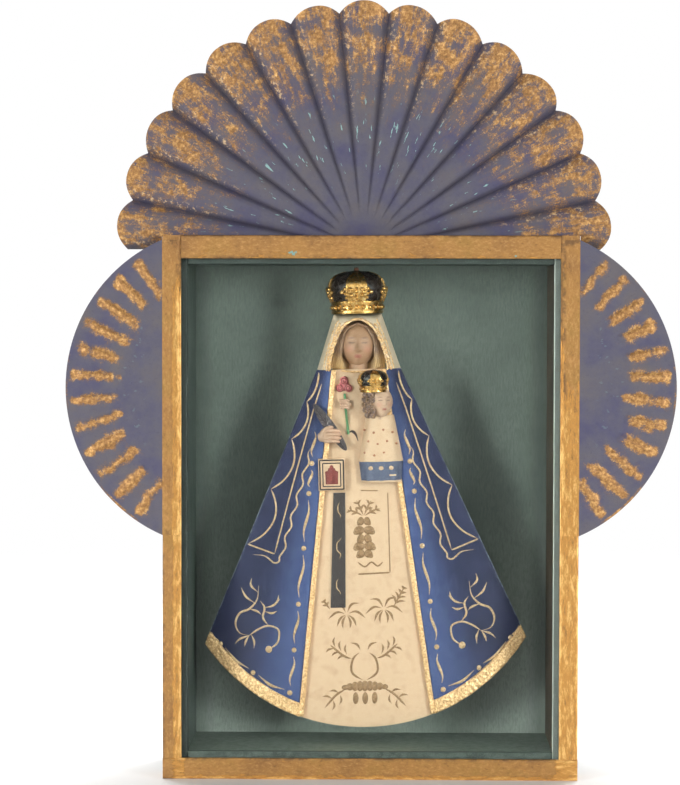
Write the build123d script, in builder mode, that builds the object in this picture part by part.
from build123d import *
from math import acos, asin, atan2, cos, degrees, pi, radians, sin, tan
import os

os.makedirs("parts", exist_ok=True)

# Tin box: outside sizes, and the tin plate every sheet part is cut from
box_width = 180
box_height = 236
box_depth = 55
sheet = 0.6

# Front frame: four flat strips, both long edges of each turned back
stile_width = 8.2
top_rail_width = 10
bottom_rail_width = 9.2
edge_return = 1.4

# Glass pane, and the angle stops behind it, which close its channel and line the niche
glass_thickness = 2
glass_clearance = 0.3
lip_reach = 2.6

# Tabs: at the ends of the floor and top, and folded over the back sheet
corner_tab_width = 24
corner_tab_height = 16
back_tab_width = 18
back_tab_reach = 8
back_tab_spacing = 130
lining_thickness = 1.6

# Fluted shell crest above the box
crest_overhang = 17.7
crest_shift = -3.2
crest_drop = 6
crest_setback = 9
lobe_count = 15
lobe_rise = 6.3
flute_tilt = 6.7
flute_facets = 8
boss_radius = 12
boss_thickness = 1.4
crest_tab_width = 14
crest_tab_depth = 10

# Ears beside the box: segments of a disc with raised rays
ear_height = 127.6
ear_reach = 41.8
ear_top_drop = 2
ear_flange_inset = 0.8
ray_count = 12
ray_span = 109
ray_length = 16.5
ray_width = 4.3
ray_inset = 4.6
ray_rise = 0.8
ray_taper = 30

# Hanging ring and its strap, high on the back
wire_diameter = 1.6
eye_clearance = 0.05
ring_width = 14
ring_toe_width = 9
ring_drop = 11
ring_corner = 2.5
ring_axis_drop = 14
strap_width = 6
strap_leg = 8

# Relief figure: its place in the niche
foot_room = 7.6
head_room = 0.8
side_room = 7.7
front_room = 17.5
figure_shift = -0.75
figure_lean = 1.5

# Robe: flat front panel between two mantle fronts that fall away to the sides
panel_depth = 13
robe_edge = 3.8
collar_half = 12
hem_half = 31
hem_rise = 37.6
shoulder_half = 18.5
mantle_thickness = 1.2
hem_width = 6
braid_width = 2.2
braid_rise = 0.7

# Block that holds the figure off the back, and the tacks that hold the block
block_width = 40
block_height = 90
block_drop = 18.6
tack_spacing = 60
tack_diameter = 1.4
tack_head = 4.4
tack_head_rise = 0.7
tack_length = 12
tack_clearance = 0.05

# Veil, head and crown; round carving is cut in flat facets
carving_facets = 16
carving_rings = 5
veil_depth = 15
veil_top_half = 10.5
veil_edge = 4.5
pocket_half = 11.5
pocket_back = 4
face_drop = 13.9
face_half_width = 7.6
face_half_height = 10
chin_room = 0.6
neck_diameter = 8
hair_depth = 5
crown_radius = 12.6
crown_height = 17.5
crown_foot_inset = 2
crown_foot_height = 5.2
crown_strap = 8
crown_plate = 0.7
knob_diameter = 2.2
knob_neck = 1.2
knob_neck_height = 0.4

# Child on the figure's left arm, placed from the panel's centre line and the shoulders
child_offset = 8.9
child_half_width = 10
child_shoulder_half = 7.5
child_wrap_foot_half = 8.5
child_body_top = 20.5
child_body_bottom = 40
child_wrap_bottom = 49.5
child_depth = 7
child_wrap_depth = 5.6
child_head_drop = 14.5
child_face_half_width = 5.6
child_face_half_height = 6.6
child_hair_cover = 1
child_crown_radius = 6.4
child_crown_height = 8.2
child_crown_foot_inset = 1
child_crown_foot_height = 2.5
child_crown_strap = 4
child_crown_offset = -2.6
child_crown_seat = 4.6

# Hands and what they hold
hand_offset = -13.2
hand_drop = 28.7
hand_length = 9
hand_width = 6
hand_depth = 3.2
quill_length = 25
quill_width = 5
quill_thickness = 1.2
quill_angle = -56
quill_grip = 3.75
flower_inset = 5.4
flower_drop = 6.9
petal_count = 5
petal_diameter = 3.4
petal_orbit = 2.1
flower_thickness = 1.6
stem_length = 17
stem_width = 1.2
small_hand_length = 5
small_hand_width = 3.4
badge_offset = -13.2
badge_drop = 46.8
badge_width = 12.4
badge_height = 14.7
badge_thickness = 1.2
ribbon_offset = -11.4
ribbon_width = 7.4
ribbon_length = 51
ribbon_thickness = 0.8

# Planes the parts share
half_width = box_width / 2
front = -box_depth / 2
back = box_depth / 2
channel_front = front + edge_return
glass_front = channel_front + glass_clearance
glass_back = glass_front + glass_thickness
stop_front = glass_back + glass_clearance
stop_back = stop_front + sheet
back_sheet_front = back - 2 * sheet
lining_front = back_sheet_front - lining_thickness
inside = half_width - sheet
ceiling = box_height - sheet
side_lip = stile_width - sheet + lip_reach
top_lip = top_rail_width - sheet + lip_reach
bottom_lip = bottom_rail_width - sheet + lip_reach
niche_half = inside - side_lip
niche_floor = sheet + bottom_lip
niche_ceiling = ceiling - top_lip

# Levels of the figure, measured up its leaning centre line
foot_height = niche_floor + foot_room
crown_top = niche_ceiling - head_room - knob_diameter - crown_plate
veil_top = crown_top - crown_height
face_height = veil_top - face_drop
shoulder_height = face_height - face_half_height - chin_room
tip_height = foot_height + hem_rise
block_bottom = shoulder_height - block_drop - block_height
panel_front = stop_back + front_room
figure_back = panel_front + panel_depth
tip_half = niche_half - side_room
panel_slope = (hem_half - collar_half) / (shoulder_height - foot_height)
hem_radius = (tip_half**2 + hem_rise**2) / (2 * hem_rise)
flank_fall = panel_depth - robe_edge
flank_run = tip_half - collar_half
flank_radius = (flank_run**2 + flank_fall**2) / (2 * flank_fall)
flank_sweep = degrees(asin((flank_run + robe_edge) / flank_radius))
lean = radians(figure_lean)


def save(builder, name):
    """Label a finished sub-part and write it out."""
    builder.part.label = name
    export_step(builder.part, f"parts/{name}.step")


def fold(plane, inner_faces, length, side=Side.RIGHT):
    """Add a strip of tin folded along inner_faces; its bends are rounded on the outside."""
    with BuildSketch(plane) as profile:
        with BuildLine():
            Polyline(*inner_faces)
            offset(amount=sheet, kind=Kind.ARC, side=side)
        make_face()
    extrude(profile.sketch, amount=length)


def plate(x_range, y_range, z_range, mode=Mode.ADD):
    """Add a flat sheet or block between the given limits."""
    low, high = zip(x_range, y_range, z_range)
    centre = tuple((a + b) / 2 for a, b in zip(low, high))
    with Locations(centre):
        Box(*[b - a for a, b in zip(low, high)], mode=mode)


def at_height(v):
    """Plane across the figure at height v: x to its side, y towards the front."""
    return Plane(
        origin=(figure_shift - v * sin(lean), figure_back, v * cos(lean)),
        x_dir=(cos(lean), 0, sin(lean)),
        z_dir=(sin(lean), 0, -cos(lean)),
    )


def at_depth(w):
    """Plane facing the front, w in front of the figure's back: x to its side, y up the figure."""
    return Plane(
        origin=(figure_shift, figure_back - w, 0),
        x_dir=(cos(lean), 0, sin(lean)),
        z_dir=(0, -1, 0),
    )


def upright(u, v, w):
    """Plane lying flat at a point of the figure, its normal up the figure."""
    return Plane(
        origin=at_depth(w).from_local_coords(Vector(u, v, 0)),
        x_dir=(cos(lean), 0, sin(lean)),
        z_dir=(-sin(lean), 0, cos(lean)),
    )


def frame_strip(plane, width, length):
    """Add a face strip lying along the plane's normal, its front on the plane's x axis."""
    inner = [
        (sheet, edge_return),
        (sheet, sheet),
        (width - sheet, sheet),
        (width - sheet, edge_return),
    ]
    fold(plane, inner, length)


def glass_stop(plane, width, length):
    """Add an angle along the plane's normal: a lip on the plane's x axis, then a wall back to the lining."""
    inner = [(0, sheet), (width - sheet, sheet), (width - sheet, lining_front - stop_front)]
    fold(plane, inner, length)


# Box walls; the right wall stops short of the frame and leaves the slot the pane slides through
def side_wall(hand, wall_front):
    """Side wall with its two tabs folded over the back sheet."""
    inner = [
        (hand * inside, back - back_tab_reach),
        (hand * inside, back - sheet),
        (hand * (half_width - back_tab_reach), back - sheet),
    ]
    with BuildPart() as wall:
        plate(sorted((hand * half_width, hand * inside)), (wall_front, back - sheet), (sheet, box_height))
        for level in (-back_tab_spacing / 2, back_tab_spacing / 2):
            tab_base = box_height / 2 + level - back_tab_width / 2
            side = Side.RIGHT if hand > 0 else Side.LEFT
            fold(Plane.XY.offset(tab_base), inner, back_tab_width, side)
    return wall


left_wall = side_wall(-1, channel_front)
right_wall = side_wall(1, stop_front)
save(left_wall, "left_wall")
save(right_wall, "right_wall")

with BuildPart() as top_wall:
    plate((-inside, inside), (channel_front, back), (ceiling, box_height))
    fold(
        Plane.XZ.offset(-corner_tab_width / 2),
        [
            (-inside + sheet, box_height - corner_tab_height),
            (-inside + sheet, ceiling),
            (inside - sheet, ceiling),
            (inside - sheet, box_height - corner_tab_height),
        ],
        corner_tab_width,
        Side.LEFT,
    )
save(top_wall, "top_wall")

with BuildPart() as floor_wall:
    plate((-half_width, half_width), (channel_front, back), (0, sheet))
    fold(
        Plane.XZ.offset(-corner_tab_width / 2),
        [
            (-half_width, corner_tab_height),
            (-half_width, sheet),
            (half_width, sheet),
            (half_width, corner_tab_height),
        ],
        corner_tab_width,
    )
save(floor_wall, "floor_wall")

# Tack places, from the block's height up the figure
tack_levels = [block_bottom + block_height / 2 + s * tack_spacing / 2 for s in (-1, 1)]
tack_hole = tack_diameter + 2 * tack_clearance


def tack_holes(reach):
    """Cut the two tack holes through the back of whatever is being built."""
    with BuildSketch(at_depth(figure_back - back)) as holes:
        with Locations(*[(0, v) for v in tack_levels]):
            Circle(tack_hole / 2)
    extrude(holes.sketch, amount=reach, mode=Mode.SUBTRACT)


with BuildPart() as back_sheet:
    plate((-inside, inside), (back_sheet_front, back - sheet), (sheet, ceiling))
    tack_holes(back - lining_front)
save(back_sheet, "back_sheet")

with BuildPart() as back_lining:
    plate((-inside + sheet, inside - sheet), (lining_front, back_sheet_front), (sheet, ceiling))
    tack_holes(back - lining_front + lining_thickness)
save(back_lining, "back_lining")

# Front frame: the stiles stand on the bottom rail and the top rail fits between them
with BuildPart() as left_stile:
    frame_strip(Plane((-half_width, front, bottom_rail_width)), stile_width, box_height - bottom_rail_width)
save(left_stile, "left_stile")

with BuildPart() as right_stile:
    frame_strip(
        Plane((half_width - stile_width, front, bottom_rail_width)),
        stile_width,
        box_height - bottom_rail_width,
    )
save(right_stile, "right_stile")

rail_length = box_width - 2 * stile_width
with BuildPart() as top_rail:
    frame_strip(
        Plane((rail_length / 2, front, box_height - top_rail_width), x_dir=(0, 0, 1), z_dir=(-1, 0, 0)),
        top_rail_width,
        rail_length,
    )
save(top_rail, "top_rail")

with BuildPart() as bottom_rail:
    frame_strip(
        Plane((half_width, front, 0), x_dir=(0, 0, 1), z_dir=(-1, 0, 0)),
        bottom_rail_width,
        box_width,
    )
save(bottom_rail, "bottom_rail")

# Glass stops: the long pair runs from floor to top, and the short pair fits between its walls
side_stop_length = ceiling - sheet
with BuildPart() as left_stop:
    glass_stop(Plane((-inside, stop_front, sheet)), side_lip, side_stop_length)
save(left_stop, "left_stop")

with BuildPart() as right_stop:
    glass_stop(
        Plane((inside, stop_front, ceiling), x_dir=(-1, 0, 0), z_dir=(0, 0, -1)),
        side_lip,
        side_stop_length,
    )
save(right_stop, "right_stop")

with BuildPart() as top_stop:
    glass_stop(
        Plane((-niche_half, stop_front, ceiling), x_dir=(0, 0, -1), z_dir=(1, 0, 0)),
        top_lip,
        2 * niche_half,
    )
save(top_stop, "top_stop")

with BuildPart() as bottom_stop:
    glass_stop(
        Plane((niche_half, stop_front, sheet), x_dir=(0, 0, 1), z_dir=(-1, 0, 0)),
        bottom_lip,
        2 * niche_half,
    )
save(bottom_stop, "bottom_stop")

with BuildPart() as glass_pane:
    plate(
        (-inside + glass_clearance, half_width - glass_clearance),
        (glass_front, glass_back),
        (sheet + glass_clearance, ceiling - glass_clearance),
    )
save(glass_pane, "glass_pane")

# Crest: every flute is a strip of a cone, in flat facets, whose point is the centre of the fan
crest_radius = half_width + crest_overhang
valley_radius = crest_radius - lobe_rise
crest_foot = (crest_shift, front + crest_setback, box_height - crest_drop)
crest_plane = Plane(crest_foot, x_dir=(1, 0, 0), z_dir=(0, -1, 0))
lobe_pitch = 180 / lobe_count
tilt = radians(flute_tilt)
cone_angle = acos(cos(radians(lobe_pitch / 2)) * cos(tilt))
valley_turn = acos(tan(tilt) / tan(cone_angle))
lobe_depth = crest_radius * tan(cone_angle - tilt)
first_valley = crest_drop / tan(radians(lobe_pitch))
valley_x = valley_radius * cos(radians(lobe_pitch / 2))
valley_y = valley_radius * sin(radians(lobe_pitch / 2))
back_shift = sheet / sin(cone_angle)


def flute_line(turn):
    """Direction from the fan's centre up the flute, turned this far about its cone from the ridge."""
    out = cos(cone_angle) * cos(tilt) + sin(cone_angle) * cos(turn) * sin(tilt)
    up = sin(cone_angle) * cos(turn) * cos(tilt) - cos(cone_angle) * sin(tilt)
    return Vector(out, sin(cone_angle) * sin(turn), up)


def flute_cuts(apex):
    """Cut the front of what is being built to the facets of a flute that starts at apex."""
    turns = [valley_turn * (2 * i / flute_facets - 1) for i in range(flute_facets + 1)]
    for low, high in zip(turns, turns[1:]):
        facet = Plane(apex, x_dir=flute_line(low), z_dir=flute_line(low).cross(flute_line(high)))
        split(bisect_by=facet, keep=Keep.BOTTOM)


with BuildPart() as hollow:
    with Locations((0, 0, -crest_radius)):
        Box(4 * crest_radius, crest_radius, 3 * crest_radius)
    flute_cuts((back_shift * cos(tilt), 0, -back_shift * sin(tilt)))

with BuildPart() as lobe:
    with BuildSketch(Plane.XY.offset(-2 * sheet)):
        with BuildLine():
            Polyline((valley_x, -valley_y), (0, 0), (valley_x, valley_y))
            ThreePointArc((valley_x, valley_y), (crest_radius, 0), (valley_x, -valley_y))
        make_face()
    extrude(amount=2 * lobe_depth)
    flute_cuts((0, 0, 0))
    add(hollow.part, mode=Mode.SUBTRACT)

with BuildPart() as crest:
    for turn in range(lobe_count):
        with Locations(crest_plane * Location((0, 0, 0), (0, 0, (turn + 0.5) * lobe_pitch))):
            add(lobe.part)
    with BuildSketch(Plane.XZ.offset(-back)):
        with Locations((0, box_height - crest_radius / 2)):
            Rectangle(2 * (half_width + 2 * sheet), crest_radius)
    extrude(amount=box_depth, mode=Mode.SUBTRACT)
    boss_root = 3 * sheet
    boss_back = front + crest_setback + boss_root
    with BuildSketch(Plane((crest_shift, boss_back, box_height), x_dir=(1, 0, 0), z_dir=(0, -1, 0))):
        Circle(boss_radius)
        with Locations((0, -boss_radius)):
            Rectangle(2 * boss_radius, 2 * boss_radius, mode=Mode.SUBTRACT)
    extrude(amount=boss_thickness + boss_root)
    for spot in (crest_shift - first_valley, crest_shift, crest_shift + first_valley):
        plate(
            (spot - crest_tab_width / 2, spot + crest_tab_width / 2),
            (front + crest_setback - sheet, front + crest_setback + crest_tab_depth),
            (box_height, box_height + sheet),
        )
save(crest, "crest")

# Ears: one sheet each, lapped over the face of the stile beside it
ear_radius = (ear_height**2 / 4 + ear_reach**2) / (2 * ear_reach)
ear_middle = box_height - ear_top_drop - ear_height / 2
ear_centre = half_width + ear_reach - ear_radius
ray_middle = ear_radius - ray_inset - ray_length / 2


def ear(hand):
    """Ear on the given side: hand is -1 on the left and 1 on the right."""
    lap = stile_width - ear_flange_inset
    ear_plane = Plane((hand * ear_centre, front, ear_middle), x_dir=(hand, 0, 0), z_dir=(0, -hand, 0))
    face_out = hand
    with BuildPart() as built:
        with BuildSketch(ear_plane):
            Circle(ear_radius)
            with Locations((half_width - ear_centre - ear_radius, 0)):
                Rectangle(2 * ear_radius, 2 * ear_radius, mode=Mode.SUBTRACT)
            with Locations((half_width - ear_centre - lap / 2, 0)):
                Rectangle(lap, ear_height)
        extrude(amount=face_out * sheet)
        with BuildSketch(ear_plane.offset(face_out * sheet)):
            with PolarLocations(ray_middle, ray_count, -ray_span / 2, ray_span, endpoint=True):
                Rectangle(ray_length, ray_width)
        extrude(amount=face_out * ray_rise, taper=ray_taper)
        with BuildSketch(ear_plane):
            with PolarLocations(ray_middle, ray_count, -ray_span / 2, ray_span, endpoint=True):
                Rectangle(ray_length - 2 * sheet, ray_width - 2 * sheet)
        extrude(amount=face_out * ray_rise, taper=ray_taper, mode=Mode.SUBTRACT)
    return built


left_ear = ear(-1)
right_ear = ear(1)
save(left_ear, "left_ear")
save(right_ear, "right_ear")

# Hanging ring: a bent wire whose straight side turns in the rolled eye of the strap
eye_radius = wire_diameter / 2 + eye_clearance
ring_axis_y = back - sheet + eye_radius + sheet
ring_axis_z = box_height - ring_axis_drop

with BuildPart() as hanger_strap:
    with BuildSketch(Plane((-strap_width / 2, ring_axis_y, ring_axis_z), x_dir=(0, 1, 0), z_dir=(1, 0, 0))):
        Circle(eye_radius + sheet)
        with Locations((sheet - eye_radius - sheet, strap_leg / 2)):
            Rectangle(2 * sheet, strap_leg)
        Circle(eye_radius, mode=Mode.SUBTRACT)
    extrude(amount=strap_width)
save(hanger_strap, "hanger_strap")

ring_plane = Plane((0, ring_axis_y, ring_axis_z), x_dir=(1, 0, 0), z_dir=(0, -1, 0))
with BuildPart() as hanger_ring:
    with BuildLine(ring_plane) as ring_path:
        Polyline(
            (0, 0),
            (ring_width / 2 - ring_corner, 0),
            (ring_width / 2, -ring_corner),
            (ring_toe_width / 2, ring_corner - ring_drop),
            (ring_toe_width / 2 - ring_corner, -ring_drop),
            (ring_corner - ring_toe_width / 2, -ring_drop),
            (-ring_toe_width / 2, ring_corner - ring_drop),
            (-ring_width / 2, -ring_corner),
            (ring_corner - ring_width / 2, 0),
            (0, 0),
        )
    with BuildSketch(Plane(ring_plane.origin, x_dir=(0, 1, 0), z_dir=(1, 0, 0))):
        Circle(wire_diameter / 2)
    sweep(path=ring_path.wire(), transition=Transition.RIGHT)
save(hanger_ring, "hanger_ring")

# Block and tacks behind the figure
with BuildPart() as figure_block:
    with BuildSketch(at_depth(0)):
        with Locations((0, block_bottom + block_height / 2)):
            Rectangle(block_width, block_height)
    extrude(amount=figure_back - lining_front)
    tack_holes(back - sheet - lining_front + tack_length)
save(figure_block, "figure_block")

with BuildPart() as block_tacks:
    for v in tack_levels:
        tack_plane = Plane(
            at_depth(figure_back - back + sheet).from_local_coords(Vector(0, v, 0)),
            x_dir=(1, 0, 0),
            z_dir=(0, -1, 0),
        )
        with BuildSketch(tack_plane):
            Circle(tack_diameter / 2)
        extrude(amount=tack_length)
        with BuildSketch(tack_plane):
            RegularPolygon(tack_head / 2, 8)
        extrude(amount=-tack_head_rise)
save(block_tacks, "block_tacks")


def panel_half(v):
    """Half width of the robe's front panel at height v."""
    return collar_half + panel_slope * (shoulder_height - v)


def front_line(rise):
    """Draw the front of the robe's section, rise above its carved surface, and give its two ends."""
    centre = panel_depth - flank_radius
    left_flank = CenterArc((-collar_half, centre), flank_radius + rise, 90, flank_sweep)
    right_flank = CenterArc((collar_half, centre), flank_radius + rise, 90, -flank_sweep)
    Line(left_flank @ 0, right_flank @ 0)
    return left_flank @ 1, right_flank @ 1


def robe_layer(inner, outer):
    """Add the layer that lies between two rises above the robe's carved surface."""
    with BuildSketch(at_height(shoulder_height)) as section:
        with BuildLine():
            outer_left, outer_right = front_line(outer)
            inner_left, inner_right = front_line(inner)
            Line(outer_left, inner_left)
            Line(outer_right, inner_right)
        make_face()
    extrude(section.sketch, amount=shoulder_height)


def robe_outline():
    """Draw the robe's outline from the front: straight flanks and a round hem."""
    with BuildLine() as edge:
        Polyline(
            (-tip_half, tip_height),
            (-shoulder_half, shoulder_height),
            (shoulder_half, shoulder_height),
            (tip_half, tip_height),
        )
        ThreePointArc((tip_half, tip_height), (0, foot_height), (-tip_half, tip_height))
    make_face(edge.edges())


def panel_strip(hand, start, end):
    """Draw the strip between two distances outwards from the front panel's edge."""
    with BuildLine() as edge:
        Polyline(
            (hand * (panel_half(shoulder_height) + start), shoulder_height),
            (hand * (panel_half(shoulder_height) + end), shoulder_height),
            (hand * (panel_half(0) + end), 0),
            (hand * (panel_half(0) + start), 0),
            close=True,
        )
    make_face(edge.edges())


# Robe: the carved body, whose front panel carries the small parts
with BuildPart() as gown:
    with BuildSketch(at_height(shoulder_height)):
        with BuildLine():
            left_end, right_end = front_line(0)
            Polyline(left_end, (left_end.X, 0), (right_end.X, 0), right_end)
        make_face()
    extrude(amount=shoulder_height)
    with BuildSketch(at_depth(0)):
        robe_outline()
    extrude(amount=2 * panel_depth, mode=Mode.INTERSECT)
save(gown, "gown")


def robe_dressing(hand, rise_from, rise_to, strip_from, strip_to, hem_only=False):
    """One side's cloth or braid: a layer of the robe inside a strip beside the front panel."""
    with BuildPart() as built:
        robe_layer(rise_from, rise_to)
        with BuildSketch(at_depth(0)):
            robe_outline()
            if hem_only:
                with Locations((0, foot_height + hem_radius)):
                    Circle(hem_radius - hem_width, mode=Mode.SUBTRACT)
                with Locations((0, foot_height + hem_radius + shoulder_height / 2)):
                    Rectangle(4 * tip_half, shoulder_height, mode=Mode.SUBTRACT)
        extrude(amount=2 * panel_depth, mode=Mode.INTERSECT)
        with BuildSketch(at_depth(0)):
            panel_strip(hand, strip_from, strip_to)
        extrude(amount=2 * panel_depth, mode=Mode.INTERSECT)
    return built


mantle_reach = 2 * tip_half
braid_top = mantle_thickness + braid_rise
left_mantle = robe_dressing(-1, 0, mantle_thickness, 0, mantle_reach)
right_mantle = robe_dressing(1, 0, mantle_thickness, 0, mantle_reach)
left_hem = robe_dressing(-1, mantle_thickness, braid_top, 0, mantle_reach, hem_only=True)
right_hem = robe_dressing(1, mantle_thickness, braid_top, 0, mantle_reach, hem_only=True)
left_braid = robe_dressing(-1, 0, braid_top, -braid_width, 0)
right_braid = robe_dressing(1, 0, braid_top, -braid_width, 0)
save(left_mantle, "left_mantle")
save(right_mantle, "right_mantle")
save(left_hem, "left_hem")
save(right_hem, "right_hem")
save(left_braid, "left_braid")
save(right_braid, "right_braid")

# Veil: a hood on the shoulders, hollowed in front for the head
with BuildPart() as veil:
    with BuildSketch(at_height(shoulder_height)):
        with BuildLine():
            Polyline(
                (-shoulder_half, veil_edge), (-shoulder_half, 0), (shoulder_half, 0), (shoulder_half, veil_edge)
            )
            ThreePointArc((shoulder_half, veil_edge), (0, veil_depth), (-shoulder_half, veil_edge))
        make_face()
    extrude(amount=shoulder_height - veil_top)
    with BuildSketch(at_depth(0)):
        with BuildLine():
            Polyline(
                (veil_top_half, veil_top),
                (-veil_top_half, veil_top),
                (-shoulder_half, shoulder_height),
                (shoulder_half, shoulder_height),
                close=True,
            )
        make_face()
    extrude(amount=2 * veil_depth, mode=Mode.INTERSECT)
    with BuildSketch(at_depth(pocket_back)):
        with Locations((0, face_height)):
            Circle(pocket_half)
        with Locations((0, face_height - pocket_half)):
            Rectangle(2 * pocket_half, 2 * pocket_half)
    extrude(amount=2 * veil_depth, mode=Mode.SUBTRACT)
save(veil, "veil")


def carved(base, rings):
    """Add a round carved solid on base, in flat facets through rings of (radius, height) that never widen."""
    layers = []
    for (wide, low), (narrow, high) in zip(rings, rings[1:]):
        with BuildSketch(base.offset(low)) as ring:
            RegularPolygon(wide, carving_facets)
        slope = degrees(atan2((wide - narrow) * cos(pi / carving_facets), high - low))
        layers.append(extrude(ring.sketch, amount=high - low, taper=slope))
    return layers


def egg(centre, half_wide, half_high):
    """Add an egg-shaped head about a point of the figure given as (side, height, depth)."""
    middle = upright(*centre)
    turns = [radians(90 * i / carving_rings) for i in range(carving_rings)]
    upper_half = carved(middle, [(half_wide * cos(a), half_high * sin(a)) for a in turns])
    mirror(upper_half, about=middle)


def behind(w):
    """Cut away everything behind depth w."""
    with BuildSketch(at_depth(w)) as waste:
        with Locations((0, shoulder_height)):
            Rectangle(4 * tip_half, box_height)
    extrude(waste.sketch, amount=-2 * panel_depth, mode=Mode.SUBTRACT)


head_centre = (0, face_height, pocket_back + hair_depth)
with BuildPart() as head:
    egg(head_centre, face_half_width, face_half_height)
    neck_base = upright(0, shoulder_height, pocket_back + hair_depth)
    carved(neck_base, [(neck_diameter / 2, 0), (neck_diameter / 2, face_height - shoulder_height)])
    behind(pocket_back)
save(head, "head")

with BuildPart() as hair:
    with BuildSketch(at_depth(pocket_back)):
        with Locations((0, face_height)):
            Circle(pocket_half)
        with Locations((0, (face_height + shoulder_height) / 2)):
            Rectangle(2 * pocket_half, face_height - shoulder_height)
        with Locations((0, shoulder_height - pocket_half)):
            Rectangle(2 * pocket_half, 2 * pocket_half, mode=Mode.SUBTRACT)
    extrude(amount=hair_depth)
    add(head.part, mode=Mode.SUBTRACT)
save(hair, "hair")


# Crowns: the dome's curve as shares of its radius, and of its height above the foot
dome_curve = [(1, 0), (1, 0.29), (0.9, 0.63), (0.6, 0.89), (0.25, 1)]


def crown_dome(base, radius, height, foot_height, out):
    """Add the swelling dome of a crown, out beyond its cap."""
    rings = [(r * radius + out, foot_height + z * (height - foot_height)) for r, z in dome_curve]
    rings[0] = (radius + out, foot_height - out)
    rings[-1] = (rings[-1][0], height + out)
    carved(base, rings)


def crown_foot(base, radius, foot_height, out):
    """Add the straight foot of a crown, out beyond its cap."""
    carved(base, [(radius + out, 0), (radius + out, foot_height)])


def crown_cap(base, radius, height, foot_inset, foot_height, neighbours=()):
    """Lining of a crown: a puffed dome on a straight foot, cut back where it meets its neighbours."""
    with BuildPart() as built:
        crown_dome(base, radius, height, foot_height, 0)
        crown_foot(base, radius - foot_inset, foot_height, 0)
        if neighbours:
            behind(panel_depth)
            add(neighbours, mode=Mode.SUBTRACT)
    return built


def crown_frame(base, radius, height, foot_inset, foot_height, strap, cap, neighbours=()):
    """Frame of a crown: a band, with two straps crossing over the cap."""
    with BuildPart() as built:
        crown_dome(base, radius, height, foot_height, crown_plate)
        with BuildSketch(base):
            Rectangle(strap, 3 * radius)
            Rectangle(3 * radius, strap)
        extrude(amount=2 * height, mode=Mode.INTERSECT)
        crown_foot(base, radius - foot_inset, foot_height, crown_plate)
        add(cap.part, mode=Mode.SUBTRACT)
        if neighbours:
            behind(panel_depth)
            add(neighbours, mode=Mode.SUBTRACT)
    return built


crown_base = upright(0, veil_top, veil_depth / 2)
crown_sizes = (crown_radius, crown_height, crown_foot_inset, crown_foot_height)
crown = crown_cap(crown_base, *crown_sizes)
crown_bands = crown_frame(crown_base, *crown_sizes, crown_strap, crown)
save(crown, "crown_cap")
save(crown_bands, "crown_frame")

# Knob: a short neck, then a ball in flat facets
ball_curve = [(1, 0), (1, 0.4), (0.8, 0.75), (0.3, 1)]
with BuildPart() as crown_knob:
    knob_base = upright(0, crown_top + crown_plate, veil_depth / 2)
    carved(knob_base, [(knob_neck / 2, 0), (knob_neck / 2, knob_neck_height)])
    ball_height = knob_diameter - knob_neck_height
    carved(knob_base, [(r * knob_diameter / 2, knob_neck_height + z * ball_height) for r, z in ball_curve])
save(crown_knob, "crown_knob")

# Child: body and wrap stand on the panel, fitted round the braid and mantle beside it
bulge_curve = [(-1, 0), (-1, 0.4), (-0.6, 0.85), (0, 1), (0.6, 0.85), (1, 0.4), (1, 0)]


def child_block(top, bottom, half_top, half_bottom, depth):
    """Add a rounded block of the child between two drops below the shoulders."""
    sections = []
    for drop, half in ((top, half_top), (bottom, half_bottom)):
        corners = [(child_offset + x * half, panel_depth + y * depth) for x, y in bulge_curve]
        with BuildSketch(at_height(shoulder_height - drop)) as section:
            with BuildLine():
                Polyline(*corners, close=True)
            make_face()
        sections.append(section.sketch)
    loft(sections, ruled=True)
    add([right_braid.part, right_mantle.part], mode=Mode.SUBTRACT)


with BuildPart() as child_body:
    child_block(child_body_top, child_body_bottom, child_shoulder_half, child_half_width, child_depth)
save(child_body, "child_body")

with BuildPart() as child_wrap:
    child_block(
        child_body_bottom, child_wrap_bottom, child_half_width, child_wrap_foot_half, child_wrap_depth
    )
save(child_wrap, "child_wrap")

child_neck = panel_depth + child_face_half_width
child_face_level = shoulder_height - child_head_drop
with BuildPart() as child_head:
    egg((child_offset, child_face_level, child_neck), child_face_half_width, child_face_half_height)
    behind(panel_depth)
    add([right_braid.part, right_mantle.part, child_body.part], mode=Mode.SUBTRACT)
save(child_head, "child_head")

with BuildPart() as child_hair:
    egg(
        (child_offset, child_face_level + child_hair_cover, child_neck - child_hair_cover),
        child_face_half_width + child_hair_cover,
        child_face_half_height + child_hair_cover,
    )
    behind(panel_depth + child_hair_cover)
    add([right_braid.part, right_mantle.part, child_body.part, child_head.part], mode=Mode.SUBTRACT)
save(child_hair, "child_hair")

child_crown_base = upright(child_offset + child_crown_offset, child_face_level + child_crown_seat, child_neck)
child_crown_sizes = (
    child_crown_radius,
    child_crown_height,
    child_crown_foot_inset,
    child_crown_foot_height,
)
child_neighbours = [right_braid.part, right_mantle.part, child_head.part, child_hair.part]
child_crown = crown_cap(child_crown_base, *child_crown_sizes, child_neighbours)
child_crown_bands = crown_frame(
    child_crown_base, *child_crown_sizes, child_crown_strap, child_crown, child_neighbours
)
save(child_crown, "child_crown_cap")
save(child_crown_bands, "child_crown_frame")

# Right hand, fitted round the braid and mantle under it, and the quill it holds
with BuildPart() as right_hand:
    with BuildSketch(at_depth(panel_depth)):
        with Locations((hand_offset, shoulder_height - hand_drop)):
            SlotOverall(hand_length, hand_width)
    extrude(amount=hand_depth)
    add([left_braid.part, left_mantle.part], mode=Mode.SUBTRACT)
save(right_hand, "right_hand")

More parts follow.
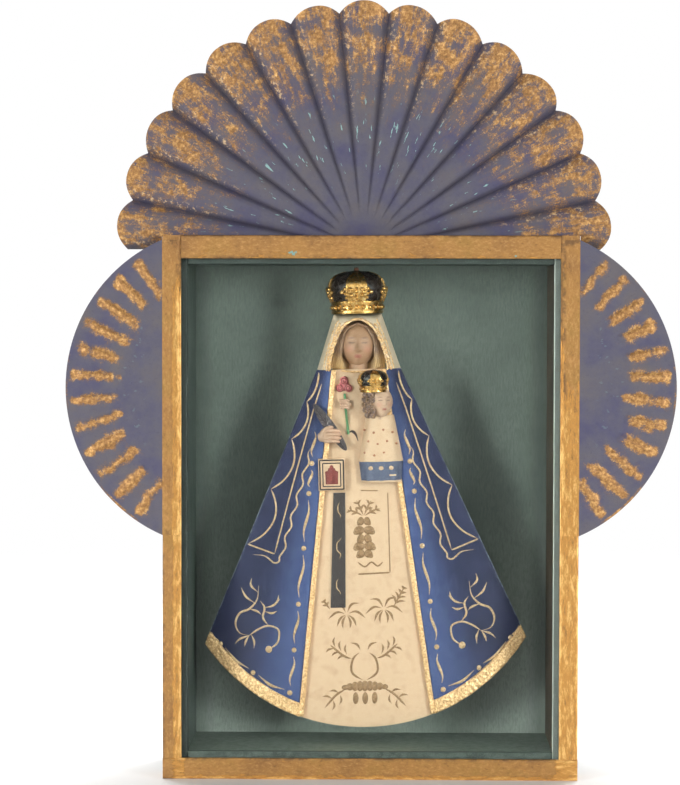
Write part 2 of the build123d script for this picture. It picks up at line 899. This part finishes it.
quill_spot = Location((hand_offset, shoulder_height - hand_drop + quill_grip, 0), quill_angle)
with BuildPart() as quill:
    with BuildSketch(Plane(at_depth(panel_depth + hand_depth).location * quill_spot)):
        with BuildLine():
            ThreePointArc((-quill_length / 2, 0), (0, quill_width / 2), (quill_length / 2, 0))
            ThreePointArc((quill_length / 2, 0), (0, -quill_width / 2), (-quill_length / 2, 0))
        make_face()
    extrude(amount=quill_thickness)
save(quill, "quill")

# Flower, the small hand below it and the stem below the hand
flower_offset = flower_inset - collar_half
small_hand_top = shoulder_height - flower_drop - petal_orbit - petal_diameter / 2
with BuildPart() as flower:
    with BuildSketch(at_depth(panel_depth)):
        with Locations((flower_offset, shoulder_height - flower_drop)):
            with PolarLocations(petal_orbit, petal_count, 90 / petal_count):
                Circle(petal_diameter / 2)
            Circle(petal_orbit)
    extrude(amount=flower_thickness)
save(flower, "flower")

with BuildPart() as left_hand:
    with BuildSketch(at_depth(panel_depth)):
        with Locations((flower_offset, small_hand_top - small_hand_width / 2)):
            SlotOverall(small_hand_length, small_hand_width)
    extrude(amount=flower_thickness)
save(left_hand, "left_hand")

with BuildPart() as flower_stem:
    with BuildSketch(at_depth(panel_depth)):
        with Locations((flower_offset, small_hand_top - small_hand_width - stem_length / 2)):
            Rectangle(stem_width, stem_length)
    extrude(amount=stem_width)
save(flower_stem, "flower_stem")

# Scapular: a badge lying on the braid, and the ribbon below it on the panel
with BuildPart() as scapular_badge:
    with BuildSketch(at_depth(panel_depth + mantle_thickness + braid_rise)):
        with Locations((badge_offset, shoulder_height - badge_drop)):
            Rectangle(badge_width, badge_height)
    extrude(amount=badge_thickness)
save(scapular_badge, "scapular_badge")

with BuildPart() as scapular_ribbon:
    with BuildSketch(at_depth(panel_depth)):
        with Locations((ribbon_offset, shoulder_height - badge_drop - badge_height / 2 - ribbon_length / 2)):
            Rectangle(ribbon_width, ribbon_length)
    extrude(amount=ribbon_thickness)
save(scapular_ribbon, "scapular_ribbon")
